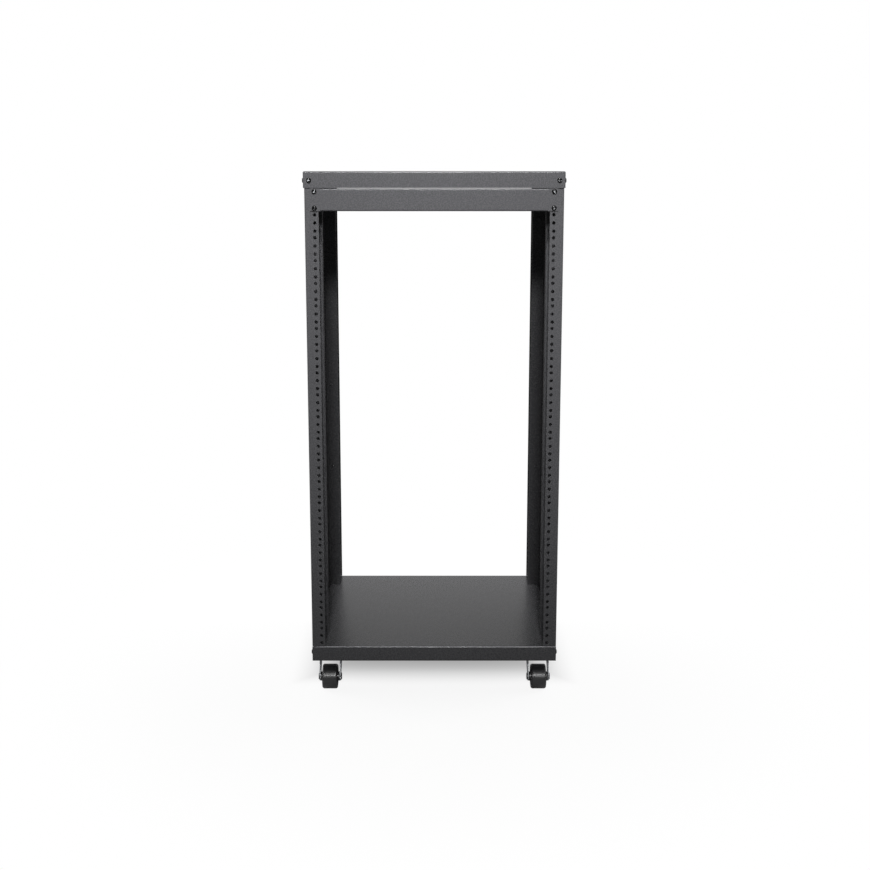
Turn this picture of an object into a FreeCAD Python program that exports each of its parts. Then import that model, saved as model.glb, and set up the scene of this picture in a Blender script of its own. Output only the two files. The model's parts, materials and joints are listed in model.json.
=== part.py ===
"""Open-frame 19-inch rack on swivel casters, 21 rack units tall, in millimetres.

The origin is on the ground under the middle of the rack. X runs across the rack, the front faces -Y and
Z points up. Folded sheet makes the base tray, the four posts, the two side sheets and the top cover, and
each caster is a plate with its kingpin, a pressed fork, an axle bolt and a wheel.
"""
import FreeCAD
import Part
import os

Vector = FreeCAD.Vector

# Rack grid of the 19-inch system
rack_units = 21
hole_pitch_in_unit = 15.875
hole_pitch_between_units = 12.7
rail_hole_spacing = 465.1
rail_hole_diameter = 6.8
panel_beyond_holes = 8.75
panel_gap = 0.79

# Frame
post_inside_holes = 7.55
post_outside_holes = 19.6
rack_depth = 450.0
post_depth = 64.0
sheet = 2.0
bend_inside_radius = 1.0
base_height = 32.0
base_lip = 14.0
base_corner_land = 4.0
cover_height = 32.0
corner_slit = 0.8
grid_above_floor = 1.6
cover_above_grid = 0.3
skirt_above_base_bottom = 5.0
skirt_relief = 0.5

# Side sheets and their cable-entry plugs
side_sheet = 1.5
side_rim_overhang = 1.6
side_top_clearance = 1.0
plug_diameter = 22.3
plug_hole_clearance = 0.1
plug_head_diameter = 27.0
plug_head_thickness = 1.4
plug_length_inside = 12.4
plug_dome_height = 4.5
plug_below_cover_top = 142.7

# Front cross panel
panel_sheet = 2.0
panel_return = 12.0
panel_return_side_clearance = 4.0

# Caster channels under the floor
channel_width = 76.0
channel_end_clearance = 0.5

# Casters
caster_height = 71.0
caster_axis_from_side = 33.8
caster_axis_from_end = 52.0
caster_trail = 22.0
caster_plate_size = 60.0
caster_plate_corner = 6.0
caster_plate_sheet = 2.5
caster_bolt_spacing = 45.0
caster_bolt_hole = 6.5
upper_race_radius = 21.0
upper_race_height = 3.0
lower_race_radius = 18.0
lower_race_height = 2.2
race_gap = 0.3
kingpin_radius = 5.0
kingpin_head_radius = 9.0
kingpin_head_height = 3.5
fork_sheet = 2.3
fork_inside_bend = 3.0
fork_inside_width = 40.0
fork_crown_radius = 21.0
fork_leg_end_radius = 9.0
wheel_radius = 25.4
tread_width = 31.0
tread_shoulder = 2.5
tread_shoulder_drop = 2.0
wheel_recess_depth = 3.0
wheel_rim_height = 5.5
hub_radius = 9.5
axle_radius = 4.0
axle_head_flats = 13.0
axle_head_height = 1.8
running_clearance = 0.05
thrust_clearance = 0.3

# Widths, heights and places that follow from the sizes above
unit_height = 2 * hole_pitch_in_unit + hole_pitch_between_units
bay_width = rail_hole_spacing - 2 * post_inside_holes
rack_width = rail_hole_spacing + 2 * post_outside_holes
panel_width = rail_hole_spacing + 2 * panel_beyond_holes
flange_width = post_inside_holes + post_outside_holes
half_width = rack_width / 2
half_depth = rack_depth / 2
base_bottom = caster_height
floor_top = base_bottom + base_height
skirt_bottom = base_bottom + skirt_above_base_bottom
grid_bottom = floor_top + grid_above_floor
grid_top = grid_bottom + rack_units * unit_height
cover_bottom = grid_top + cover_above_grid
cover_top = cover_bottom + cover_height
post_top = cover_top - sheet
holes_in_unit = 3
hole_heights = [grid_bottom + unit * unit_height + hole_pitch_between_units / 2 + hole * hole_pitch_in_unit
                for unit in range(rack_units) for hole in range(holes_in_unit)]

X_AXIS = Vector(1, 0, 0)
Y_AXIS = Vector(0, 1, 0)
Z_AXIS = Vector(0, 0, 1)


def box(low, high):
    """Box between two opposite corners."""
    size = high - low
    return Part.makeBox(size.x, size.y, size.z, low)


def cylinder(start, axis, radius, length):
    """Cylinder that runs from a start point along an axis."""
    return Part.makeCylinder(radius, length, start, axis)


def arc(centre, start, end):
    """Quarter-turn arc between two points at the same distance from a centre."""
    middle = centre + ((start - centre) + (end - centre)).normalize() * (start - centre).Length
    return Part.Arc(start, middle, end).toShape()


def line(start, end):
    """Straight edge between two points."""
    return Part.LineSegment(start, end).toShape()


def channel(origin, across, inward, run, width, depth, thickness, inside_radius):
    """Folded C-channel: a web across its width, a flange at each edge, run as a straight length.

    The origin is the web's outer corner, and the flanges stand along inward from the web's outer face.
    """
    outside_radius = inside_radius + thickness

    def at(a, i):
        return origin + across * a + inward * i

    near_centre = at(outside_radius, outside_radius)
    far_centre = at(width - outside_radius, outside_radius)
    edges = [
        line(at(0, depth), at(0, outside_radius)),
        arc(near_centre, at(0, outside_radius), at(outside_radius, 0)),
        line(at(outside_radius, 0), at(width - outside_radius, 0)),
        arc(far_centre, at(width - outside_radius, 0), at(width, outside_radius)),
        line(at(width, outside_radius), at(width, depth)),
        line(at(width, depth), at(width - thickness, depth)),
        line(at(width - thickness, depth), at(width - thickness, outside_radius)),
        arc(far_centre, at(width - thickness, outside_radius), at(width - outside_radius, thickness)),
        line(at(width - outside_radius, thickness), at(outside_radius, thickness)),
        arc(near_centre, at(outside_radius, thickness), at(thickness, outside_radius)),
        line(at(thickness, outside_radius), at(thickness, depth)),
        line(at(thickness, depth), at(0, depth)),
    ]
    return Part.Face(Part.Wire(edges)).extrude(run)


def base_tray():
    """Floor plate folded down on all four sides, with inward lips under the front and rear edges."""
    inner_half = half_width - sheet
    land = half_depth - base_corner_land
    tray = channel(Vector(-inner_half, -land, floor_top), X_AXIS, -Z_AXIS, Y_AXIS * (2 * land),
                   2 * inner_half, base_height, sheet, bend_inside_radius)
    for end in (-1, 1):
        edge = channel(Vector(-half_width, end * half_depth, base_bottom), Z_AXIS, Y_AXIS * -end,
                       X_AXIS * rack_width, base_height, base_lip, sheet, bend_inside_radius)
        for side in (-1, 1):
            outer = Vector(side * (half_width + sheet), end * land, base_bottom - sheet)
            inner = Vector(side * inner_half, 0, floor_top + sheet)
            low = Vector(min(outer.x, inner.x), min(outer.y, inner.y), outer.z)
            high = Vector(max(outer.x, inner.x), max(outer.y, inner.y), inner.z)
            edge = edge.cut(box(low, high))
        tray = tray.fuse(edge)
    return tray.removeSplitter()


def side_wall(side, front_y, width, depth, thickness, top):
    """Upright channel on one side of the rack, its web's skirt lapping over the base tray's side.

    The skirt runs the width of the web less a small relief, and stops short of the tray's corner lands.
    """
    web_x = side * half_width
    inward = X_AXIS * -side
    wall = channel(Vector(web_x, front_y, floor_top), Y_AXIS, inward, Z_AXIS * (top - floor_top),
                   width, depth, thickness, bend_inside_radius)
    land = half_depth - base_corner_land - running_clearance
    skirt_front = max(front_y + skirt_relief, -land)
    skirt_back = min(front_y + width - skirt_relief, land)
    skirt_low = Vector(min(web_x, web_x - side * thickness), skirt_front, skirt_bottom)
    skirt_high = Vector(max(web_x, web_x - side * thickness), skirt_back, floor_top)
    return wall.fuse(box(skirt_low, skirt_high)).removeSplitter()


def post(side, end):
    """Corner post with the rack holes in its outer flange: front flange at the front, rear at the back."""
    front_y = -half_depth if end < 0 else half_depth - post_depth
    wall = side_wall(side, front_y, post_depth, flange_width, sheet, post_top)
    flange_y = end * half_depth
    through = Vector(0, -end, 0)
    holes = [cylinder(Vector(side * rail_hole_spacing / 2, flange_y, height) - through * sheet,
                      through, rail_hole_diameter / 2, 3 * sheet)
             for height in hole_heights]
    return wall.cut(Part.makeCompound(holes))


def plug_centre(side):
    """Point on the outer face of a side sheet where its cable-entry plug sits."""
    return Vector(side * half_width, 0, cover_top - plug_below_cover_top)


def side_panel(side):
    """Side sheet between the posts, its rims flat against the posts' inner flanges and a little wider."""
    front_y = -half_depth + post_depth
    wall = side_wall(side, front_y, rack_depth - 2 * post_depth, flange_width + side_rim_overhang,
                     side_sheet, post_top - side_top_clearance)
    hole_radius = plug_diameter / 2 + plug_hole_clearance
    through = X_AXIS * -side
    return wall.cut(cylinder(plug_centre(side) - through * side_sheet, through, hole_radius, 3 * side_sheet))


def side_plug(side):
    """Domed blanking plug, its thin head outside the side sheet and its body inside."""
    body_radius = plug_diameter / 2
    head_radius = plug_head_diameter / 2
    dome_start = side_sheet + plug_length_inside - plug_dome_height
    dome_end = dome_start + plug_dome_height
    dome_radius = (body_radius ** 2 + plug_dome_height ** 2) / (2 * plug_dome_height)
    dome_middle = body_radius / 2
    dome_middle_depth = dome_end - dome_radius + (dome_radius ** 2 - dome_middle ** 2) ** 0.5
    centre = plug_centre(side)
    inward = X_AXIS * -side

    def at(depth, radius):
        return centre + inward * depth + Z_AXIS * radius

    edges = [
        line(at(-plug_head_thickness, 0), at(-plug_head_thickness, head_radius)),
        line(at(-plug_head_thickness, head_radius), at(0, head_radius)),
        line(at(0, head_radius), at(0, body_radius)),
        line(at(0, body_radius), at(dome_start, body_radius)),
        Part.Arc(at(dome_start, body_radius), at(dome_middle_depth, dome_middle), at(dome_end, 0)).toShape(),
        line(at(dome_end, 0), at(-plug_head_thickness, 0)),
    ]
    return Part.Face(Part.Wire(edges)).revolve(centre, X_AXIS, 360)


def top_cover():
    """Flat lid folded down on all four sides, lapping over the posts, with slits at its folded corners."""
    outer_x = half_width + sheet
    outer_y = half_depth + sheet
    bend_outside = bend_inside_radius + sheet
    lid = box(Vector(-outer_x, -outer_y, cover_bottom), Vector(outer_x, outer_y, cover_top))
    rounded = [edge for edge in lid.Edges if edge.CenterOfMass.z > cover_bottom + sheet]
    lid = lid.makeFillet(bend_outside, rounded)
    hollow = box(Vector(-half_width, -half_depth, cover_bottom - sheet),
                 Vector(half_width, half_depth, cover_top - sheet))
    lid = lid.cut(hollow)
    for side in (-1, 1):
        for end in (-1, 1):
            slit_low = Vector(min(side * half_width, side * (outer_x + sheet)),
                              min(end * half_depth, end * (half_depth - corner_slit)), cover_bottom - sheet)
            slit_high = Vector(max(side * half_width, side * (outer_x + sheet)),
                               max(end * half_depth, end * (half_depth - corner_slit)),
                               cover_top - bend_outside)
            lid = lid.cut(box(slit_low, slit_high))
    return lid


def front_cross_panel():
    """One-unit panel screwed across the top of the front posts, its long edges folded back."""
    top = grid_top - panel_gap / 2
    bottom = grid_top - unit_height + panel_gap / 2
    front = -half_depth - panel_sheet
    half_return = bay_width / 2 - panel_return_side_clearance
    face = box(Vector(-panel_width / 2, front, bottom), Vector(panel_width / 2, -half_depth, top))
    folds = channel(Vector(-half_return, front, bottom), Z_AXIS, Y_AXIS, X_AXIS * (2 * half_return),
                    top - bottom, panel_return, panel_sheet, bend_inside_radius)
    gap = box(Vector(-half_return, front - panel_sheet, bottom - panel_sheet),
              Vector(half_return, -half_depth + panel_sheet, top + panel_sheet))
    panel = face.cut(gap).fuse(folds)
    screw_heights = (hole_heights[-holes_in_unit], hole_heights[-1])
    holes = [cylinder(Vector(side * rail_hole_spacing / 2, front - panel_sheet, height),
                      Y_AXIS, rail_hole_diameter / 2, 3 * panel_sheet)
             for side in (-1, 1) for height in screw_heights]
    return panel.cut(Part.makeCompound(holes)).removeSplitter()


def caster_axis(side, end):
    """Point on a caster's swivel axis at the level of the tray's bottom edge."""
    return Vector(side * (half_width - caster_axis_from_side), end * (half_depth - caster_axis_from_end),
                  base_bottom)


def caster_bolt_holes(side, end):
    """Cutters for the four bolts of one caster, through its plate and the channel above it."""
    half = caster_bolt_spacing / 2
    bottom = -2 * caster_plate_sheet
    return [cylinder(caster_axis(side, end) + Vector(across * half, along * half, bottom), Z_AXIS,
                     caster_bolt_hole / 2, 2 * sheet - bottom)
            for across in (-1, 1) for along in (-1, 1)]


def caster_channel(end):
    """Channel for two casters across the underside of the floor, close behind the tray's lip."""
    half_length = half_width - 2 * sheet - bend_inside_radius - channel_end_clearance
    behind_lip = half_depth - base_lip
    low_y = min(end * behind_lip, end * (behind_lip - channel_width))
    folded = channel(Vector(-half_length, low_y, base_bottom), Y_AXIS, Z_AXIS,
                     X_AXIS * (2 * half_length), channel_width, base_height - sheet, sheet, bend_inside_radius)
    return folded.cut(Part.makeCompound(caster_bolt_holes(-1, end) + caster_bolt_holes(1, end)))


def wheel_centre(side, end):
    """Centre of a caster's wheel, which trails its swivel axis towards the front."""
    axis = caster_axis(side, end)
    return Vector(axis.x, axis.y - caster_trail, wheel_radius)


upper_race_bottom = base_bottom - caster_plate_sheet - upper_race_height
crown_top = upper_race_bottom - race_gap - lower_race_height
crown_bottom = crown_top - fork_sheet
kingpin_head_top = crown_bottom - race_gap


def caster_plate(side, end):
    """Caster's top plate with its upper ball race and the kingpin that carries the fork."""
    axis = caster_axis(side, end)
    half = caster_plate_size / 2
    plate = box(axis + Vector(-half, -half, -caster_plate_sheet), axis + Vector(half, half, 0))
    uprights = [edge for edge in plate.Edges if abs(edge.tangentAt(edge.FirstParameter).z) > 0.9]
    plate = plate.makeFillet(caster_plate_corner, uprights)
    race = cylinder(Vector(axis.x, axis.y, upper_race_bottom), Z_AXIS, upper_race_radius, upper_race_height)
    kingpin = cylinder(Vector(axis.x, axis.y, kingpin_head_top), Z_AXIS, kingpin_radius,
                       upper_race_bottom - kingpin_head_top)
    head = cylinder(Vector(axis.x, axis.y, kingpin_head_top - kingpin_head_height), Z_AXIS,
                    kingpin_head_radius, kingpin_head_height)
    holes = Part.makeCompound(caster_bolt_holes(side, end))
    return plate.fuse([race, kingpin, head]).cut(holes).removeSplitter()


def fork_outline(side, end):
    """Side outline of the fork: wide at the crown, tapering to a round end about the axle."""
    axis = caster_axis(side, end)
    centre = wheel_centre(side, end)
    outer_x = fork_inside_width / 2 + fork_sheet
    left = axis.x - outer_x

    def at(y, z):
        return Vector(left, y, z)

    front = axis.y - fork_crown_radius
    back = axis.y + fork_crown_radius
    low = centre.z - fork_leg_end_radius
    leg_front = centre.y - fork_leg_end_radius
    leg_back = centre.y + fork_leg_end_radius
    shoulder = crown_bottom - fork_inside_bend
    edges = [
        line(at(front, crown_top), at(back, crown_top)),
        line(at(back, crown_top), at(back, shoulder)),
        line(at(back, shoulder), at(leg_back, centre.z)),
        Part.Arc(at(leg_back, centre.z), at(centre.y, low), at(leg_front, centre.z)).toShape(),
        line(at(leg_front, centre.z), at(front, shoulder)),
        line(at(front, shoulder), at(front, crown_top)),
    ]
    return Part.Face(Part.Wire(edges)).extrude(X_AXIS * (2 * outer_x))


def fork(side, end):
    """Pressed fork: a folded crown with two tapered legs, the lower race and the axle holes."""
    axis = caster_axis(side, end)
    centre = wheel_centre(side, end)
    outer_width = fork_inside_width + 2 * fork_sheet
    front = min(axis.y - fork_crown_radius, centre.y - fork_leg_end_radius)
    back = axis.y + fork_crown_radius
    folded = channel(Vector(axis.x - outer_width / 2, front, crown_top), X_AXIS, -Z_AXIS,
                     Y_AXIS * (back - front), outer_width, crown_top - centre.z + fork_leg_end_radius,
                     fork_sheet, fork_inside_bend)
    bracket = folded.common(fork_outline(side, end))
    race = cylinder(Vector(axis.x, axis.y, crown_bottom), Z_AXIS, lower_race_radius,
                    fork_sheet + lower_race_height)
    pin_hole = cylinder(Vector(axis.x, axis.y, crown_bottom - fork_sheet), Z_AXIS,
                        kingpin_radius + running_clearance, lower_race_height + 3 * fork_sheet)
    axle_hole = cylinder(Vector(axis.x - outer_width, centre.y, centre.z), X_AXIS,
                         axle_radius + running_clearance, 2 * outer_width)
    return bracket.fuse(race).cut(pin_hole).cut(axle_hole).removeSplitter()


def hexagon(centre, flats, height):
    """Hexagonal prism about the X axis, from a centre point on its near face."""
    corner_radius = flats / 3 ** 0.5
    ring = Part.makePolygon([centre + FreeCAD.Rotation(X_AXIS, 60 * step).multVec(Z_AXIS * corner_radius)
                             for step in range(7)])
    return Part.Face(ring).extrude(X_AXIS * height)


def axle(side, end):
    """Axle bolt through the fork's legs and the wheel, with its hexagon head and nut outside the legs."""
    centre = wheel_centre(side, end)
    outside = fork_inside_width / 2 + fork_sheet
    left = centre - X_AXIS * outside
    shank = cylinder(left, X_AXIS, axle_radius, 2 * outside)
    head = hexagon(left - X_AXIS * axle_head_height, axle_head_flats, axle_head_height)
    nut = hexagon(centre + X_AXIS * outside, axle_head_flats, axle_head_height)
    return shank.fuse([head, nut]).removeSplitter()


def wheel(side, end):
    """Wheel turned about the axle: a bored hub, a recessed web and a tread with eased shoulders."""
    half_hub = fork_inside_width / 2 - thrust_clearance
    half_tread = tread_width / 2
    half_web = half_tread - wheel_recess_depth
    bore = axle_radius + running_clearance
    rim = wheel_radius - wheel_rim_height
    shoulder = wheel_radius - tread_shoulder_drop
    right_half = [
        (half_hub, bore), (half_hub, hub_radius), (half_web, hub_radius), (half_web, rim), (half_tread, rim),
        (half_tread, shoulder), (half_tread - tread_shoulder, wheel_radius),
    ]
    left_half = [(-x, radius) for x, radius in reversed(right_half)]
    centre = wheel_centre(side, end)
    points = [centre + Vector(x, 0, radius) for x, radius in right_half + left_half]
    section = Part.Face(Part.makePolygon(points + points[:1]))
    return section.revolve(centre, X_AXIS, 360)


def corner_nodes(side, end):
    """The pieces at one corner of the rack, by name."""
    corner = "{}_{}".format("left" if side < 0 else "right", "front" if end < 0 else "rear")
    return {
        corner + "_post": post(side, end),
        corner + "_caster_plate": caster_plate(side, end),
        corner + "_fork": fork(side, end),
        corner + "_axle": axle(side, end),
        corner + "_wheel": wheel(side, end),
    }


def build():
    """All pieces of the rack, by name."""
    nodes = {
        "base_tray": base_tray(),
        "top_cover": top_cover(),
        "front_cross_panel": front_cross_panel(),
        "front_caster_channel": caster_channel(-1),
        "rear_caster_channel": caster_channel(1),
        "left_side_panel": side_panel(-1),
        "right_side_panel": side_panel(1),
        "left_side_plug": side_plug(-1),
        "right_side_plug": side_plug(1),
    }
    for side in (-1, 1):
        for end in (-1, 1):
            nodes.update(corner_nodes(side, end))
    return nodes


os.makedirs("parts", exist_ok=True)
for name, shape in build().items():
    shape.exportStep("parts/{}.step".format(name))
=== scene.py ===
"""Finishes, fasteners and studio of the open-frame rack on casters.

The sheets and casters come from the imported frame. This file coats them, adds the screws, rivets and bolts that
hold them together, and sets a pale studio with the camera about level with the top of the rack, looking a little
down.
"""
import json
import math

import bmesh
import bpy
from bpy.props import FloatProperty, FloatVectorProperty, IntProperty, PointerProperty
from mathutils import Matrix, Vector


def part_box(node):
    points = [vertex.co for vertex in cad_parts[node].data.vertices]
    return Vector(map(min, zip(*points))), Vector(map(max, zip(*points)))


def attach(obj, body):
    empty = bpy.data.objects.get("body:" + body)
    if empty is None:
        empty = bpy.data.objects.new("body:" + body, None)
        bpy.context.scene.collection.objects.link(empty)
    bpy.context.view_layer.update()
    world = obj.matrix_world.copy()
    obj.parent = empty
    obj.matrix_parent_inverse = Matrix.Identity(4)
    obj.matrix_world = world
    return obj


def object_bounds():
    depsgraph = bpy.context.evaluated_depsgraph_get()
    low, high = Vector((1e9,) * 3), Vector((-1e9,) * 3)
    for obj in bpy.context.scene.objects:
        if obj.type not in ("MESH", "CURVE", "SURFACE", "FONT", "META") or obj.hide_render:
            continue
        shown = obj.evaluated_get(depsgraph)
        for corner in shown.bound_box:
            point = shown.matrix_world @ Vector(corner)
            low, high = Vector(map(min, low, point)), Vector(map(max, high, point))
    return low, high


bl_info = {
    "name": "Open-frame rack finishes",
    "version": (1, 0, 0),
    "blender": (4, 5, 0),
    "location": "3D View > Sidebar > Rack",
    "description": "Coats the rack's sheets and casters, adds its fasteners and sets the studio",
    "category": "Object",
}

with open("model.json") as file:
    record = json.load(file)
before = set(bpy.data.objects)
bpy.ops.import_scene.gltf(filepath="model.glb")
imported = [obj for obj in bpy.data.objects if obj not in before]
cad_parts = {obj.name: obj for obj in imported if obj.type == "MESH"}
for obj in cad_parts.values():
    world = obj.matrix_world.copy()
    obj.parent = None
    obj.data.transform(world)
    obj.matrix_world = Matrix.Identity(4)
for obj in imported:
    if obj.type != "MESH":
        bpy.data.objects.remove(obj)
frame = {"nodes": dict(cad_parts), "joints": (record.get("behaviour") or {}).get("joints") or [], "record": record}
cad_low, cad_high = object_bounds()
slot_of_node = {row["node"]: row["material_slot"] for row in frame["record"]["subparts"]}
mount_named = {mount["name"]: mount for mount in frame["record"]["mounts"]}

SIDES = (-1, 1)
ENDS = (-1, 1)
MILLIMETRE = 0.001
TOUCHING = 1e-6
FACING_UP = 0.9
SHARP_ANGLE = math.radians(35)
SIDE_SHEET = 1.5 * MILLIMETRE
CASTER_PLATE_SHEET = 2.5 * MILLIMETRE

# Each screw is turned this many degrees further than the one before, and its recess is the same at every quarter
SCREW_TURN_STEP = 67
RECESS_QUARTER = 90

# Studio: frame width in mm, floor greys for bounced light and for the eye, and how the white behind the rack fades
SENSOR_WIDTH = 36
WHITE = (1, 1, 1, 1)
BOUNCE_GREY = (0.5, 0.5, 0.5, 1)
SEEN_GREY = (0.2, 0.2, 0.2, 1)
FLOOR_CUTS = 7
BEHIND_FADE = 0.35
MIRROR_LEAD = 0.3
FILL_BELOW, FILL_ABOVE = 0.7, 1.3

# The pieces that the key light reaches
FRONT_PIECES = ("top_cover", "front_cross_panel", "left_front_post", "right_front_post", "base_tray",
                "left_front_wheel", "right_front_wheel", "left_rear_wheel", "right_rear_wheel")


class RackFinishes(bpy.types.PropertyGroup):
    """Colours and textures of the rack's materials."""

    coat_colour: FloatVectorProperty(
        name="Coat", description="Colour of the powder coat on the sheets", subtype="COLOR", size=3, min=0, max=1,
        default=(0.060, 0.060, 0.0635))
    coat_roughness: FloatProperty(
        name="Coat roughness", description="Mean roughness of the powder coat", subtype="FACTOR", min=0, max=1,
        default=0.27)
    coat_grain: FloatProperty(
        name="Coat grain", description="Size of the powder coat's grain", unit="LENGTH", min=0.1 * MILLIMETRE,
        default=2.2 * MILLIMETRE)
    # painted highlight: a band of the tray's coat made many times lighter along its top folds, standing in for the
    # light that a bend catches
    painted_highlight_width: FloatProperty(
        name="Painted highlight width", description="Width of the rubbed line on the tray's folds", unit="LENGTH",
        default=2.0 * MILLIMETRE)
    painted_highlight_level: FloatProperty(
        name="Painted highlight level", description="How many times lighter the rubbed coat is", min=1, default=10.0)
    zinc_colour: FloatVectorProperty(
        name="Zinc", description="Colour of the plated caster parts", subtype="COLOR", size=3, min=0, max=1,
        default=(0.62, 0.64, 0.66))
    wheel_colour: FloatVectorProperty(
        name="Wheel", description="Colour of the moulded wheels", subtype="COLOR", size=3, min=0, max=1,
        default=(0.012, 0.012, 0.013))
    plug_colour: FloatVectorProperty(
        name="Plug", description="Colour of the cable-entry plugs", subtype="COLOR", size=3, min=0, max=1,
        default=(0.84, 0.85, 0.85))
    screw_colour: FloatVectorProperty(
        name="Screw", description="Colour of the blackened screws", subtype="COLOR", size=3, min=0, max=1,
        default=(0.008, 0.008, 0.0085))


class RackFasteners(bpy.types.PropertyGroup):
    """Sizes and places of the screws, rivets and bolts."""

    screw_diameter: FloatProperty(
        name="Screw head", description="Diameter of a pan head", unit="LENGTH", default=9.8 * MILLIMETRE)
    screw_height: FloatProperty(
        name="Screw height", description="Height of a pan head", unit="LENGTH", default=2.8 * MILLIMETRE)
    screw_recess_span: FloatProperty(
        name="Recess span", description="Length across the cross recess", unit="LENGTH", default=5.4 * MILLIMETRE)
    screw_recess_slot: FloatProperty(
        name="Recess slot", description="Width of one slot of the cross recess", unit="LENGTH",
        default=1.5 * MILLIMETRE)
    screw_recess_depth: FloatProperty(
        name="Recess depth", description="Depth of the cross recess", unit="LENGTH", default=1.8 * MILLIMETRE)
    cover_screw_drop: FloatProperty(
        name="Cover screw drop", description="From the cover's top to its screws", unit="LENGTH",
        default=17.4 * MILLIMETRE)
    cover_screw_inset: FloatProperty(
        name="Cover screw inset", description="From the cover's side to the screws in its end flanges",
        unit="LENGTH", default=11.5 * MILLIMETRE)
    cover_side_inset: FloatProperty(
        name="Cover side inset", description="From the cover's ends to the screws in its side flanges",
        unit="LENGTH", default=15.5 * MILLIMETRE)
    base_screw_drop: FloatProperty(
        name="Base screw drop", description="From the floor plate to the screws in the posts' skirts",
        unit="LENGTH", default=16.4 * MILLIMETRE)
    base_screw_inset: FloatProperty(
        name="Base screw inset", description="From the tray's ends to the screws in the posts' skirts",
        unit="LENGTH", default=14.0 * MILLIMETRE)
    rivet_diameter: FloatProperty(
        name="Rivet", description="Diameter of a rivet's head", unit="LENGTH", default=6.4 * MILLIMETRE)
    rivet_height: FloatProperty(
        name="Rivet height", description="Height of a rivet's head", unit="LENGTH", default=1.3 * MILLIMETRE)
    rivets_per_rim: IntProperty(
        name="Rivets", description="Rivets along each upright rim of a side sheet", min=2, default=5)
    bolt_diameter: FloatProperty(
        name="Bolt head", description="Diameter of a caster bolt's head", unit="LENGTH", default=10.5 * MILLIMETRE)
    bolt_height: FloatProperty(
        name="Bolt height", description="Height of a caster bolt's head", unit="LENGTH", default=2.8 * MILLIMETRE)
    bolt_spacing: FloatProperty(
        name="Bolt spacing", description="Between the bolts of a caster plate", unit="LENGTH",
        default=45.0 * MILLIMETRE)


class RackStudio(bpy.types.PropertyGroup):
    """Camera, lights and floor."""

    camera_distance: FloatProperty(
        name="Camera distance", description="From the front of the posts to the camera", unit="LENGTH",
        default=2.3)
    camera_height: FloatProperty(
        name="Camera height", description="Height of the camera above the floor", unit="LENGTH", default=1.042)
    camera_pitch: FloatProperty(
        name="Camera pitch", description="How far the camera looks down", subtype="ANGLE",
        default=math.radians(9.65))
    lens: FloatProperty(
        name="Lens", description="Focal length on a 36 mm wide frame", unit="CAMERA", default=48.5)
    shift_right: FloatProperty(
        name="Frame shift right", description="Shift of the frame to the right, as a share of its width",
        default=0.0009)
    shift_up: FloatProperty(
        name="Frame shift up", description="Rise of the frame, as a share of its width", default=-0.057)
    key_power: FloatProperty(
        name="Key light", description="Power of the soft light high above the front", unit="POWER", default=2030.0)
    key_distance: FloatProperty(
        name="Key distance", description="From the cover's front edge to the key light", unit="LENGTH", default=5.3)
    key_radius: FloatProperty(
        name="Key radius", description="Radius of the key light", unit="LENGTH", default=0.3)
    key_aim_rise: FloatProperty(
        name="Key aim", description="Height over the cover that the key light points to", unit="LENGTH",
        default=0.3)
    key_elevation: FloatProperty(
        name="Key elevation", description="Elevation of the key light", subtype="ANGLE", default=math.radians(45))
    key_cone: FloatProperty(
        name="Key cone", description="Angle of the key light's beam", subtype="ANGLE", default=math.radians(19))
    low_power: FloatProperty(
        name="Low light", description="Power of the soft light low above the front", unit="POWER", default=770.0)
    low_distance: FloatProperty(
        name="Low distance", description="From the cover's front edge to the low light", unit="LENGTH", default=4.9)
    low_radius: FloatProperty(
        name="Low radius", description="Radius of the low light", unit="LENGTH", default=0.4)
    low_elevation: FloatProperty(
        name="Low elevation", description="Elevation of the low light", subtype="ANGLE", default=math.radians(24))
    low_cone: FloatProperty(
        name="Low cone", description="Angle of the low light's beam", subtype="ANGLE", default=math.radians(26))
    side_power: FloatProperty(
        name="Side lights", description="Power of each soft light at the sides", unit="POWER", default=9.0)
    side_distance: FloatProperty(
        name="Side distance", description="From the rack's sides to the side lights", unit="LENGTH", default=1.5)
    side_setback: FloatProperty(
        name="Side setback", description="How far the side lights stand behind the rack's middle", unit="LENGTH",
        default=0.25)
    side_width: FloatProperty(
        name="Side width", description="Width of each side light", unit="LENGTH", default=1.0)
    side_height: FloatProperty(
        name="Side height", description="Height of each side light", unit="LENGTH", default=1.2)
    fill_level: FloatProperty(
        name="Fill", description="Level of the even light from all around", min=0, default=0.07)
    rear_fill_level: FloatProperty(
        name="Rear fill", description="Level of the even light from behind the rack", min=0, default=0.4)
    mirror_level: FloatProperty(
        name="Mirrored white", description="Level of the white surroundings behind the rack in reflections",
        subtype="FACTOR", min=0, max=1, default=0.1)
    floor_size: FloatProperty(
        name="Floor size", description="Length of the floor's sides", unit="LENGTH", default=40.0)
    white_start: FloatProperty(
        name="White start", description="From the floor's middle to where it starts to turn all white",
        unit="LENGTH", default=0.42)
    white_end: FloatProperty(
        name="White end", description="From the floor's middle to where it is all white", unit="LENGTH", default=0.95)
    shade_start: FloatProperty(
        name="Shade start", description="From the middle line to where the shade under the rack starts to fade",
        unit="LENGTH", default=0.05)
    shade_end: FloatProperty(
        name="Shade end", description="From the middle line to where the shade under the rack has faded",
        unit="LENGTH", default=0.19)
    floor_lift: FloatProperty(
        name="Floor lift", description="White that the eye sees in the floor round the rack", subtype="FACTOR",
        min=0, max=1, default=0.89)
    floor_shade: FloatProperty(
        name="Floor shade", description="Share of that white left under the middle of the rack", subtype="FACTOR",
        min=0, max=1, default=0.45)


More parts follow.
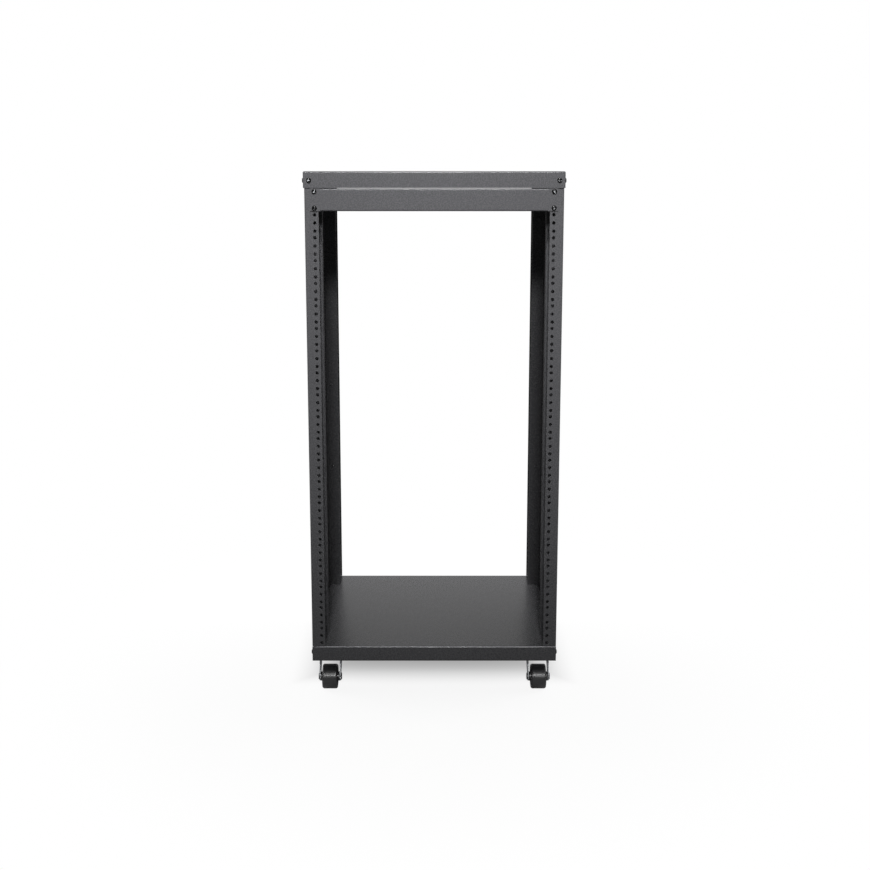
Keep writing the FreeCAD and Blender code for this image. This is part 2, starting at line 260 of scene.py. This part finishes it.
class Value:
    """A shader socket that works in plain sums: each operation adds its Math node."""

    def __init__(self, shader, socket):
        self.shader = shader
        self.socket = socket

    def output(self, name):
        """Another output of the same node."""
        return Value(self.shader, self.socket.node.outputs[name])

    def math(self, operation, first, second):
        """Result of one operation on two values."""
        return self.shader.node("ShaderNodeMath", {"operation": operation}, {0: first, 1: second})

    def __add__(self, other):
        return self.math("ADD", self, other)

    def __radd__(self, other):
        return self.math("ADD", other, self)

    def __sub__(self, other):
        return self.math("SUBTRACT", self, other)

    def __rsub__(self, other):
        return self.math("SUBTRACT", other, self)

    def __mul__(self, other):
        return self.math("MULTIPLY", self, other)

    def __rmul__(self, other):
        return self.math("MULTIPLY", other, self)


class Shader:
    """The nodes of one material or of the world."""

    def __init__(self, tree):
        self.tree = tree
        tree.nodes.clear()

    def node(self, kind, settings=None, inputs=None, output=0):
        """Adds a node, sets it, links or fills its sockets and gives one of its outputs."""
        node = self.tree.nodes.new(kind)
        for key, value in (settings or {}).items():
            setattr(node, key, value)
        for key, value in (inputs or {}).items():
            if isinstance(value, Value):
                self.tree.links.new(value.socket, node.inputs[key])
            else:
                node.inputs[key].default_value = value
        return Value(self, node.outputs[output]) if node.outputs else None

    def mix_colour(self, factor, first, second):
        """Colour between two, by a factor: sockets 6 and 7 and output 2 are the node's colours."""
        return self.node("ShaderNodeMix", {"data_type": "RGBA"}, {0: factor, 6: first, 7: second}, output=2)

    def noise(self, place, size, detail=2.0, roughness=0.55):
        """Noise whose features are about the given size, in metres."""
        return self.node("ShaderNodeTexNoise", None,
                         {"Vector": place, "Scale": 1 / size, "Detail": detail, "Roughness": roughness}, "Fac")

    def ramp(self, value, start, end):
        """Smooth rise from 0 to 1 as a value goes from a start to an end."""
        return self.node("ShaderNodeMapRange", {"interpolation_type": "SMOOTHSTEP"},
                         {"Value": value, "From Min": start, "From Max": end})

    def distances(self, place):
        """Distances of a place from the middle planes, as X, Y and Z."""
        spread_out = self.node("ShaderNodeVectorMath", {"operation": "ABSOLUTE"}, {0: place}, "Vector")
        return self.node("ShaderNodeSeparateXYZ", None, {"Vector": spread_out}, "X")

    def bump(self, height, depth, strength):
        """Normal of a surface raised by a height of up to the given depth, in metres."""
        return self.node("ShaderNodeBump", None, {"Height": height, "Distance": depth, "Strength": strength},
                         "Normal")


def shade(colour, level):
    """A colour times a level, as RGBA."""
    return (*(channel * level for channel in colour), 1.0)


def finish(build, finishes):
    """The material that carries its function's name, built by it the first time."""
    material = bpy.data.materials.get(build.__name__)
    if material is None:
        material = bpy.data.materials.new(build.__name__)
        material.use_nodes = True
        shader = Shader(material.node_tree)
        place = shader.node("ShaderNodeTexCoord", output="Object")
        surface = build(shader, place, finishes)
        shader.node("ShaderNodeOutputMaterial", None, {"Surface": surface})
    return material


def powder_coat(shader, place, finishes, painted_highlight=None):
    """Dark powder coat with a fine grain and a faint drift over the sheet, lightened into a painted highlight where a
    mask is given.
    """
    grain = shader.noise(place, finishes.coat_grain, detail=3.0, roughness=0.65)
    drift = shader.noise(place, 160 * MILLIMETRE)
    colour = shader.mix_colour(grain, shade(finishes.coat_colour, 0.70), shade(finishes.coat_colour, 1.30))
    if painted_highlight is not None:
        # painted highlight: the coat is made many times lighter where the mask is set
        colour = shader.mix_colour(painted_highlight, colour, shade(finishes.coat_colour, finishes.painted_highlight_level))
    return shader.node("ShaderNodeBsdfPrincipled", None, {
        "Base Color": colour,
        "Roughness": finishes.coat_roughness + (grain - 0.5) * 0.16 + (drift - 0.5) * 0.06,
        "Specular IOR Level": 0.45,
        "Normal": shader.bump(grain, 0.35 * MILLIMETRE, 0.35),
    })


def tray_coat(shader, place, finishes):
    """Powder coat of the tray, with a painted highlight along its front and rear top folds, where a bend would catch
    the light.
    """
    tray_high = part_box("base_tray")[1]
    # painted highlight mask: the band at the top of the tray's front and rear ends
    start, full = finishes.painted_highlight_width, 0.3 * finishes.painted_highlight_width
    from_middle = shader.distances(place)
    at_end = shader.ramp(from_middle.output("Y"), tray_high.y - start, tray_high.y - full)
    at_top = shader.ramp(from_middle.output("Z"), tray_high.z - start, tray_high.z - full)
    return powder_coat(shader, place, finishes, at_end * at_top)


def zinc_plate(shader, place, finishes):
    """Bright zinc over pressed steel, with faint crystal patches and fine scuffs."""
    patches = shader.node("ShaderNodeTexVoronoi", None, {"Vector": place, "Scale": 1 / (4 * MILLIMETRE)}, "Color")
    patch_level = shader.node("ShaderNodeSeparateColor", None, {"Color": patches}, "Red")
    scuffs = shader.noise(place, 1.2 * MILLIMETRE, detail=3.0)
    colour = shader.mix_colour(patch_level, shade(finishes.zinc_colour, 0.86), shade(finishes.zinc_colour, 1.08))
    return shader.node("ShaderNodeBsdfPrincipled", None, {
        "Base Color": colour,
        "Metallic": 1.0,
        "Roughness": 0.27 + patch_level * 0.07 + scuffs * 0.12,
        "Normal": shader.bump(scuffs, 0.1 * MILLIMETRE, 0.25),
    })


def moulded_wheel(shader, place, finishes):
    """Satin black moulding with fine turned rings round the tread."""
    across = shader.node("ShaderNodeSeparateXYZ", None, {"Vector": place}, "X")
    rings = shader.node("ShaderNodeTexNoise", {"noise_dimensions": "1D"},
                        {"W": across * (1 / (1.6 * MILLIMETRE)), "Scale": 1.0, "Detail": 2.0}, "Fac")
    pores = shader.noise(place, 0.9 * MILLIMETRE)
    colour = shader.mix_colour(rings, shade(finishes.wheel_colour, 0.8), shade(finishes.wheel_colour, 1.25))
    return shader.node("ShaderNodeBsdfPrincipled", None, {
        "Base Color": colour,
        "Roughness": 0.36 + rings * 0.08 + pores * 0.04,
        "Specular IOR Level": 1.0,
        "Coat Weight": 1.0,
        "Coat Roughness": 0.32,
        "Normal": shader.bump(rings + pores * 0.4, 0.03 * MILLIMETRE, 0.3),
    })


def moulded_plug(shader, place, finishes):
    """Light grey moulded plastic with a fine spark-eroded grain."""
    grain = shader.noise(place, 0.8 * MILLIMETRE)
    cloud = shader.noise(place, 20 * MILLIMETRE)
    colour = shader.mix_colour(cloud, shade(finishes.plug_colour, 0.95), shade(finishes.plug_colour, 1.04))
    return shader.node("ShaderNodeBsdfPrincipled", None, {
        "Base Color": colour,
        "Roughness": 0.22 + grain * 0.12,
        "Normal": shader.bump(grain, 0.1 * MILLIMETRE, 0.3),
    })


def blackened_steel(shader, place, finishes):
    """Blackened steel with a slightly uneven sheen."""
    grain = shader.noise(place, 1.1 * MILLIMETRE, detail=3.0)
    colour = shader.mix_colour(grain, shade(finishes.screw_colour, 0.7), shade(finishes.screw_colour, 1.5))
    return shader.node("ShaderNodeBsdfPrincipled", None, {
        "Base Color": colour,
        "Roughness": 0.12 + grain * 0.10,
        "Specular IOR Level": 0.4,
        "Normal": shader.bump(grain, 0.08 * MILLIMETRE, 0.3),
    })


def rubbed_steel(shader, place, finishes):
    """Blackened recess with flecks where the driver has worn the steel bare."""
    scuffs = shader.noise(place, 0.7 * MILLIMETRE, detail=3.0)
    bare = shader.ramp(shader.noise(place, 2.6 * MILLIMETRE), 0.50, 0.60)
    colour = shader.mix_colour(bare, shade(finishes.zinc_colour, 0.03), shade(finishes.zinc_colour, 1.2))
    return shader.node("ShaderNodeBsdfPrincipled", None, {
        "Base Color": colour,
        "Metallic": 1.0,
        "Roughness": 0.34 + scuffs * 0.2,
        "Normal": shader.bump(scuffs, 0.06 * MILLIMETRE, 0.4),
    })


FINISH_OF_SLOT = {
    "graphite_coat": powder_coat,
    "zinc_steel": zinc_plate,
    "black_steel": blackened_steel,
    "wheel_black": moulded_wheel,
    "plug_grey": moulded_plug,
}

FINISH_OF_NODE = {"base_tray": tray_coat}


def finish_nodes(slots, finishes):
    """Gives every solid of the frame in these slots its material."""
    for name, node in frame["nodes"].items():
        slot = slot_of_node[name]
        if slot in slots:
            node.data.materials.clear()
            node.data.materials.append(finish(FINISH_OF_NODE.get(name, FINISH_OF_SLOT[slot]), finishes))


def start_piece():
    """Clears the selection, so that what is added next is edited alone."""
    bpy.ops.object.select_all(action="DESELECT")


def added_cylinder(sides, radius, low, high):
    """Upright cylinder on the Z axis between two heights, its place in its mesh."""
    start_piece()
    bpy.ops.mesh.primitive_cylinder_add(vertices=sides, radius=radius, depth=high - low,
                                        location=(0, 0, (low + high) / 2))
    bpy.ops.object.transform_apply(location=True, rotation=True, scale=True)
    return bpy.context.object


def added_bar(span, slot, low, high):
    """Box centred on the Z axis between two heights, its place in its mesh."""
    start_piece()
    bpy.ops.mesh.primitive_cube_add(size=1, location=(0, 0, (low + high) / 2))
    bpy.ops.transform.resize(value=(span, slot, high - low))
    bpy.ops.object.transform_apply(location=True, rotation=True, scale=True)
    return bpy.context.object


def make_active(piece):
    """Selects one object and makes it the one that operators act on."""
    start_piece()
    piece.select_set(True)
    bpy.context.view_layer.objects.active = piece


def round_top_edge(piece, top, offset, segments):
    """Bevels the rim of the piece's top face."""
    make_active(piece)
    bpy.ops.object.mode_set(mode="EDIT")
    bpy.ops.mesh.select_mode(type="EDGE")
    bpy.ops.mesh.select_all(action="DESELECT")
    mesh = bmesh.from_edit_mesh(piece.data)
    for edge in mesh.edges:
        edge.select = all(abs(vertex.co.z - top) < TOUCHING for vertex in edge.verts)
    bmesh.update_edit_mesh(piece.data)
    bpy.ops.mesh.bevel(offset=offset, segments=segments, profile=0.5)
    bpy.ops.object.mode_set(mode="OBJECT")


def sink_top_face(piece, top, rim, depth):
    """Insets the piece's top face and pushes the inner part down."""
    make_active(piece)
    bpy.ops.object.mode_set(mode="EDIT")
    bpy.ops.mesh.select_mode(type="FACE")
    bpy.ops.mesh.select_all(action="DESELECT")
    mesh = bmesh.from_edit_mesh(piece.data)
    for face in mesh.faces:
        face.select = face.normal.z > FACING_UP and abs(face.calc_center_median().z - top) < TOUCHING
    bmesh.update_edit_mesh(piece.data)
    bpy.ops.mesh.inset(thickness=rim, depth=0)
    bpy.ops.mesh.extrude_region_move(TRANSFORM_OT_translate={"value": (0, 0, -depth)})
    bpy.ops.object.mode_set(mode="OBJECT")


def cut_away(piece, cutter):
    """Takes the cutter's shape out of the piece and removes the cutter."""
    make_active(piece)
    cut = piece.modifiers.new("recess", "BOOLEAN")
    cut.operation = "DIFFERENCE"
    cut.solver = "EXACT"
    cut.object = cutter
    bpy.ops.object.modifier_apply(modifier=cut.name)
    bpy.data.objects.remove(cutter)


def smooth_by_angle(piece):
    """Smooth shading, with edges over the sharp angle kept."""
    make_active(piece)
    bpy.ops.object.shade_smooth_by_angle(angle=SHARP_ANGLE)


def pan_head_screw(fasteners, finishes):
    """Pan head with a bright cross recess, its bearing face at Z = 0 and its top towards +Z."""
    radius = fasteners.screw_diameter / 2
    top = fasteners.screw_height
    floor = top - fasteners.screw_recess_depth
    screw = added_cylinder(sides=40, radius=radius, low=0, high=top)
    round_top_edge(screw, top, offset=0.7 * top, segments=5)
    span, slot = fasteners.screw_recess_span, fasteners.screw_recess_slot
    cut_away(screw, added_bar(span, slot, floor, 2 * top))
    cut_away(screw, added_bar(slot, span, floor, 2 * top))
    screw.data.materials.append(finish(blackened_steel, finishes))
    screw.data.materials.append(finish(rubbed_steel, finishes))
    for face in screw.data.polygons:
        across_recess = face.center.xy.length < span / 2 + TOUCHING
        below_top = floor - TOUCHING < face.center.z < top - 10 * TOUCHING
        face.material_index = int(across_recess and below_top)
    smooth_by_angle(screw)
    return screw


def blind_rivet(fasteners, finishes):
    """Low domed rivet with the dimple of its pulled stem, on the plane Z = 0."""
    radius = fasteners.rivet_diameter / 2
    top = fasteners.rivet_height
    rivet = added_cylinder(sides=28, radius=radius, low=0, high=top)
    round_top_edge(rivet, top, offset=0.8 * top, segments=4)
    sink_top_face(rivet, top, rim=0.3 * radius, depth=0.4 * top)
    rivet.data.materials.append(finish(powder_coat, finishes))
    smooth_by_angle(rivet)
    return rivet


def socket_bolt(fasteners, finishes):
    """Button head with a hexagon socket, on the plane Z = 0."""
    radius = fasteners.bolt_diameter / 2
    top = fasteners.bolt_height
    bolt = added_cylinder(sides=32, radius=radius, low=0, high=top)
    round_top_edge(bolt, top, offset=0.75 * top, segments=5)
    cut_away(bolt, added_cylinder(sides=6, radius=0.42 * radius, low=0.35 * top, high=2 * top))
    bolt.data.materials.append(finish(zinc_plate, finishes))
    smooth_by_angle(bolt)
    return bolt


def fasten(pattern, name, places):
    """Copies a fastener to each place, joins the copies to one piece and removes the pattern.

    A place is the point on the surface, the direction that the head faces and the head's turn.
    """
    copies = []
    for point, direction, turn in places:
        copy = pattern.copy()
        copy.data = pattern.data.copy()
        bpy.context.scene.collection.objects.link(copy)
        stand = direction.to_track_quat("Z", "Y").to_matrix().to_4x4()
        copy.data.transform(Matrix.Translation(point) @ stand @ Matrix.Rotation(turn, 4, "Z"))
        copies.append(copy)
    make_active(copies[0])
    for copy in copies:
        copy.select_set(True)
    bpy.ops.object.join()
    piece = bpy.context.object
    piece.name = name
    piece.data.name = name
    bpy.data.objects.remove(pattern)
    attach(piece, "frame")


def turned(places):
    """Places of screws with their turns, as each is driven to its own angle."""
    return [(point, direction, math.radians(SCREW_TURN_STEP * index % RECESS_QUARTER))
            for index, (point, direction) in enumerate(places)]


def cover_screw_places(fasteners):
    """Two screws in each of the cover's end flanges and two in each side flange."""
    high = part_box("top_cover")[1]
    level = high.z - fasteners.cover_screw_drop
    places = []
    for side in SIDES:
        for end in ENDS:
            end_point = Vector((side * (high.x - fasteners.cover_screw_inset), end * high.y, level))
            side_point = Vector((side * high.x, end * (high.y - fasteners.cover_side_inset), level))
            places.append((end_point, Vector((0, end, 0))))
            places.append((side_point, Vector((side, 0, 0))))
    return turned(places)


def panel_screw_places():
    """The cross panel's four screws, on the hole columns of the posts."""
    low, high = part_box("front_cross_panel")
    holes = mount_named["front_bottom_unit"]["dims"]
    middle = (low.z + high.z) / 2
    places = [(Vector((side * holes["spacing_x_mm"] / 2 * MILLIMETRE, low.y,
                       middle + level * holes["spacing_y_mm"] / 2 * MILLIMETRE)), Vector((0, -1, 0)))
              for side in SIDES for level in (-1, 1)]
    return turned(places)


def base_screw_places(fasteners):
    """One screw through each post's skirt into the base tray."""
    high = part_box("base_tray")[1]
    places = [(Vector((side * high.x, end * (high.y - fasteners.base_screw_inset),
                       high.z - fasteners.base_screw_drop)), Vector((side, 0, 0)))
              for side in SIDES for end in ENDS]
    return turned(places)


def side_rivet_places(fasteners):
    """Rivets along the upright rims of both side sheets, on the faces towards the middle of the sheet."""
    places = []
    count = fasteners.rivets_per_rim
    floor_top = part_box("base_tray")[1].z
    for name in ("left_side_panel", "right_side_panel"):
        low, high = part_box(name)
        across = (low.x + high.x) / 2
        for end in ENDS:
            for index in range(count):
                level = floor_top + (high.z - floor_top) * (index + 0.5) / count
                places.append((Vector((across, end * (high.y - SIDE_SHEET), level)), Vector((0, -end, 0)), 0.0))
    return places


def caster_bolt_places(fasteners):
    """Four bolts under each caster plate."""
    places = []
    half = fasteners.bolt_spacing / 2
    for side_name in ("left", "right"):
        for end_name in ("front", "rear"):
            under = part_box(f"{side_name}_{end_name}_caster_plate")[1].z - CASTER_PLATE_SHEET
            axis = joint_point(f"{side_name}_{end_name}_swivel_turn")
            for across in SIDES:
                for along in ENDS:
                    places.append((Vector((axis.x + across * half, axis.y + along * half, under)),
                                   Vector((0, 0, -1)), 0.0))
    return places


def joint_point(name):
    """Point on the axis of one of the rack's joints."""
    return Vector(next(joint["pos_m"] for joint in frame["joints"] if joint["name"] == name))


class RACK_OT_coat_sheets(bpy.types.Operator):
    """Coat the tray, posts, side sheets, cover, cross panel and caster channels"""

    bl_idname = "rack.coat_sheets"
    bl_label = "Coat the sheets"

    def execute(self, context):
        finish_nodes({"graphite_coat"}, context.scene.rack_finishes)
        return {"FINISHED"}


class RACK_OT_finish_casters(bpy.types.Operator):
    """Plate the caster metalwork and finish the moulded wheels"""

    bl_idname = "rack.finish_casters"
    bl_label = "Finish the casters"

    def execute(self, context):
        finish_nodes({"zinc_steel", "black_steel", "wheel_black"}, context.scene.rack_finishes)
        return {"FINISHED"}


class RACK_OT_finish_plugs(bpy.types.Operator):
    """Finish the cable-entry plugs of the side sheets"""

    bl_idname = "rack.finish_plugs"
    bl_label = "Finish the plugs"

    def execute(self, context):
        finish_nodes({"plug_grey"}, context.scene.rack_finishes)
        return {"FINISHED"}


class RACK_OT_cover_screws(bpy.types.Operator):
    """Add the pan heads that hold the top cover"""

    bl_idname = "rack.cover_screws"
    bl_label = "Cover screws"

    def execute(self, context):
        fasteners = context.scene.rack_fasteners
        fasten(pan_head_screw(fasteners, context.scene.rack_finishes), "cover_screws",
               cover_screw_places(fasteners))
        return {"FINISHED"}


class RACK_OT_panel_screws(bpy.types.Operator):
    """Add the pan heads that hold the front cross panel"""

    bl_idname = "rack.panel_screws"
    bl_label = "Panel screws"

    def execute(self, context):
        fasteners = context.scene.rack_fasteners
        fasten(pan_head_screw(fasteners, context.scene.rack_finishes), "panel_screws", panel_screw_places())
        return {"FINISHED"}


class RACK_OT_base_screws(bpy.types.Operator):
    """Add the pan heads that hold the posts to the base tray"""

    bl_idname = "rack.base_screws"
    bl_label = "Base screws"

    def execute(self, context):
        fasteners = context.scene.rack_fasteners
        fasten(pan_head_screw(fasteners, context.scene.rack_finishes), "base_screws",
               base_screw_places(fasteners))
        return {"FINISHED"}


class RACK_OT_side_rivets(bpy.types.Operator):
    """Add the rivets that hold the side sheets to the posts"""

    bl_idname = "rack.side_rivets"
    bl_label = "Side rivets"

    def execute(self, context):
        fasteners = context.scene.rack_fasteners
        fasten(blind_rivet(fasteners, context.scene.rack_finishes), "side_rivets",
               side_rivet_places(fasteners))
        return {"FINISHED"}


class RACK_OT_caster_bolts(bpy.types.Operator):
    """Add the bolts that hold the caster plates"""

    bl_idname = "rack.caster_bolts"
    bl_label = "Caster bolts"

    def execute(self, context):
        fasteners = context.scene.rack_fasteners
        fasten(socket_bolt(fasteners, context.scene.rack_finishes), "caster_bolts",
               caster_bolt_places(fasteners))
        return {"FINISHED"}


def white_studio_world(studio):
    """World that is white to the eye and in reflections from behind the rack, and a soft fill elsewhere."""
    world = bpy.data.worlds.new("studio")
    world.use_nodes = True
    bpy.context.scene.world = world
    shader = Shader(world.node_tree)
    direction = shader.node("ShaderNodeTexCoord", output="Generated")
    parts = shader.node("ShaderNodeSeparateXYZ", None, {"Vector": direction}, "X")
    ray = shader.node("ShaderNodeLightPath", output="Is Camera Ray")
    behind = shader.ramp(parts.output("Y"), -BEHIND_FADE, BEHIND_FADE)
    height = shader.node("ShaderNodeMapRange", None,
                         {"Value": parts.output("Z"), "From Min": -1.0, "To Min": FILL_BELOW, "To Max": FILL_ABOVE})
    fill = height * studio.fill_level + behind * studio.rear_fill_level
    seen = ray + ray.output("Is Transmission Ray")
    mirrored = ray.output("Is Glossy Ray") * (studio.mirror_level * behind)
    white = shader.node("ShaderNodeMath", {"operation": "MINIMUM"}, {0: seen + mirrored, 1: 1.0})
    level = white + (1 - white) * fill
    surface = shader.node("ShaderNodeBackground", None, {"Color": WHITE, "Strength": level})
    shader.node("ShaderNodeOutputWorld", None, {"Surface": surface})


def pale_floor(studio):
    """Wide floor that is white to the eye, keeps the rack's real soft shadow round its base and adds a painted shade
    under the rack.
    """
    start_piece()
    bpy.ops.mesh.primitive_plane_add(size=studio.floor_size, location=(0, 0, 0))
    floor = bpy.context.object
    floor.name = "studio_floor"
    bpy.ops.object.mode_set(mode="EDIT")
    bpy.ops.mesh.subdivide(number_cuts=FLOOR_CUTS)
    bpy.ops.object.mode_set(mode="OBJECT")
    material = bpy.data.materials.new("pale_floor")
    material.use_nodes = True
    shader = Shader(material.node_tree)
    place = shader.node("ShaderNodeTexCoord", output="Object")
    from_rack = shader.node("ShaderNodeVectorMath", {"operation": "LENGTH"}, {0: place}, "Value")
    far = shader.ramp(from_rack, studio.white_start, studio.white_end)
    # painted shadow: the white that the eye sees is dimmed under the middle of the rack and fades out towards its
    # sides and ends
    from_middle = shader.distances(place)
    wider = from_middle - 0.5 * cad_high.x
    from_shade = shader.node("ShaderNodeMath", {"operation": "MAXIMUM"}, {0: wider, 1: from_middle.output("Y")})
    open_air = shader.ramp(from_shade, studio.shade_start, studio.shade_end)
    lift = studio.floor_lift * (studio.floor_shade + (1 - studio.floor_shade) * open_air)
    ray = shader.node("ShaderNodeLightPath", output="Is Camera Ray")
    front = shader.node("ShaderNodeSeparateXYZ", None, {"Vector": place}, "Y")
    behind = shader.ramp(front, cad_low.y - MIRROR_LEAD, cad_high.y)
    mirrored = ray.output("Is Glossy Ray") * (studio.mirror_level * behind)
    seen = ray + ray.output("Is Transmission Ray") + mirrored
    paper = shader.node("ShaderNodeBsdfDiffuse", None, {"Color": shader.mix_colour(ray, BOUNCE_GREY, SEEN_GREY)})
    glow = shader.node("ShaderNodeEmission", None, {"Color": WHITE, "Strength": seen * lift})
    near_floor = shader.node("ShaderNodeAddShader", None, {0: paper, 1: glow})
    white = shader.node("ShaderNodeEmission", None, {"Color": WHITE, "Strength": 1.0})
    surface = shader.node("ShaderNodeMixShader", None, {0: far * seen, 1: near_floor, 2: white})
    shader.node("ShaderNodeOutputMaterial", None, {"Surface": surface})
    floor.data.materials.append(material)


def added_lamp(kind, name, location, target, power):
    """Lamp that faces a point, out of the camera's sight."""
    start_piece()
    facing = (Vector(target) - Vector(location)).to_track_quat("-Z", "Y")
    bpy.ops.object.light_add(type=kind, location=location, rotation=facing.to_euler())
    lamp = bpy.context.object
    lamp.name = name
    lamp.data.energy = power
    lamp.visible_camera = False
    return lamp


def soft_light(name, location, target, width, height, power):
    """Rectangular soft light that faces a point."""
    lamp = added_lamp("AREA", name, location, target, power)
    lamp.data.shape = "RECTANGLE"
    lamp.data.size = width
    lamp.data.size_y = height
    return lamp


def soft_beam(name, location, target, radius, cone, power):
    """Round soft light that faces a point and fades evenly towards the rim of its beam."""
    lamp = added_lamp("SPOT", name, location, target, power)
    lamp.data.shadow_soft_size = radius
    lamp.data.spot_size = cone
    lamp.data.spot_blend = 1.0
    return lamp


def lit_group(name, pieces):
    """Collection of the pieces that one of the lamps lights."""
    group = bpy.data.collections.new(name)
    for piece in pieces:
        group.objects.link(frame["nodes"][piece])
    return group


def over_front(elevation, distance):
    """Step from the rack towards its front and up, at an elevation."""
    return Vector((0, -math.cos(elevation), math.sin(elevation))) * distance


def front_camera(studio):
    """Camera in front of the rack, level with its top and looking a little down."""
    start_piece()
    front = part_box("left_front_post")[0].y
    bpy.ops.object.camera_add(location=(0, front - studio.camera_distance, studio.camera_height),
                              rotation=(math.radians(90) - studio.camera_pitch, 0, 0))
    camera = bpy.context.object
    camera.name = "front_camera"
    camera.data.sensor_width = SENSOR_WIDTH
    camera.data.lens = studio.lens
    camera.data.shift_x = studio.shift_right
    camera.data.shift_y = studio.shift_up
    bpy.context.scene.camera = camera


class RACK_OT_studio(bpy.types.Operator):
    """Set the pale floor, the soft lights and the camera"""

    bl_idname = "rack.studio"
    bl_label = "Studio"

    def execute(self, context):
        studio = context.scene.rack_studio
        white_studio_world(studio)
        pale_floor(studio)
        top = cad_high.z
        middle = (0, 0, top / 2)
        front_top = Vector((0, cad_low.y, top))
        over_top = front_top + Vector((0, 0, studio.key_aim_rise))
        key = soft_beam("key_light", front_top + over_front(studio.key_elevation, studio.key_distance), over_top,
                        studio.key_radius, studio.key_cone, studio.key_power)
        key.light_linking.receiver_collection = lit_group("front_pieces", FRONT_PIECES)
        key.visible_glossy = False
        soft_beam("low_light", front_top + over_front(studio.low_elevation, studio.low_distance), front_top,
                  studio.low_radius, studio.low_cone, studio.low_power)
        for side in SIDES:
            beside = (side * (cad_high.x + studio.side_distance), studio.side_setback, top)
            lamp = soft_light("side_light", beside, middle, studio.side_width, studio.side_height, studio.side_power)
            lamp.visible_glossy = False
        front_camera(studio)
        context.scene.view_settings.view_transform = "Standard"
        return {"FINISHED"}


class RACK_PT_panel(bpy.types.Panel):
    """Finishes, fasteners and studio of the rack"""

    bl_idname = "RACK_PT_panel"
    bl_label = "Open-frame rack"
    bl_space_type = "VIEW_3D"
    bl_region_type = "UI"
    bl_category = "Rack"

    def draw(self, context):
        for group in (context.scene.rack_finishes, context.scene.rack_fasteners, context.scene.rack_studio):
            box = self.layout.box()
            for name in group.__annotations__:
                box.prop(group, name)
        for operator in OPERATORS:
            self.layout.operator(operator.bl_idname)


GROUPS = {"rack_finishes": RackFinishes, "rack_fasteners": RackFasteners, "rack_studio": RackStudio}
OPERATORS = (
    RACK_OT_coat_sheets, RACK_OT_finish_casters, RACK_OT_finish_plugs, RACK_OT_cover_screws, RACK_OT_panel_screws,
    RACK_OT_base_screws, RACK_OT_side_rivets, RACK_OT_caster_bolts, RACK_OT_studio,
)


def register():
    """Adds the settings, the operators and the panel."""
    for name, group in GROUPS.items():
        bpy.utils.register_class(group)
        setattr(bpy.types.Scene, name, PointerProperty(type=group))
    for operator in OPERATORS:
        bpy.utils.register_class(operator)
    bpy.utils.register_class(RACK_PT_panel)


def unregister():
    """Removes what register added."""
    bpy.utils.unregister_class(RACK_PT_panel)
    for operator in reversed(OPERATORS):
        bpy.utils.unregister_class(operator)
    for name, group in GROUPS.items():
        delattr(bpy.types.Scene, name)
        bpy.utils.unregister_class(group)


def main():
    """Builds the rack's finishes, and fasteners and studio."""
    register()
    bpy.ops.rack.coat_sheets()
    bpy.ops.rack.finish_casters()
    bpy.ops.rack.finish_plugs()
    bpy.ops.rack.cover_screws()
    bpy.ops.rack.panel_screws()
    bpy.ops.rack.base_screws()
    bpy.ops.rack.side_rivets()
    bpy.ops.rack.caster_bolts()
    bpy.ops.rack.studio()


if __name__ == "__main__":
    main()
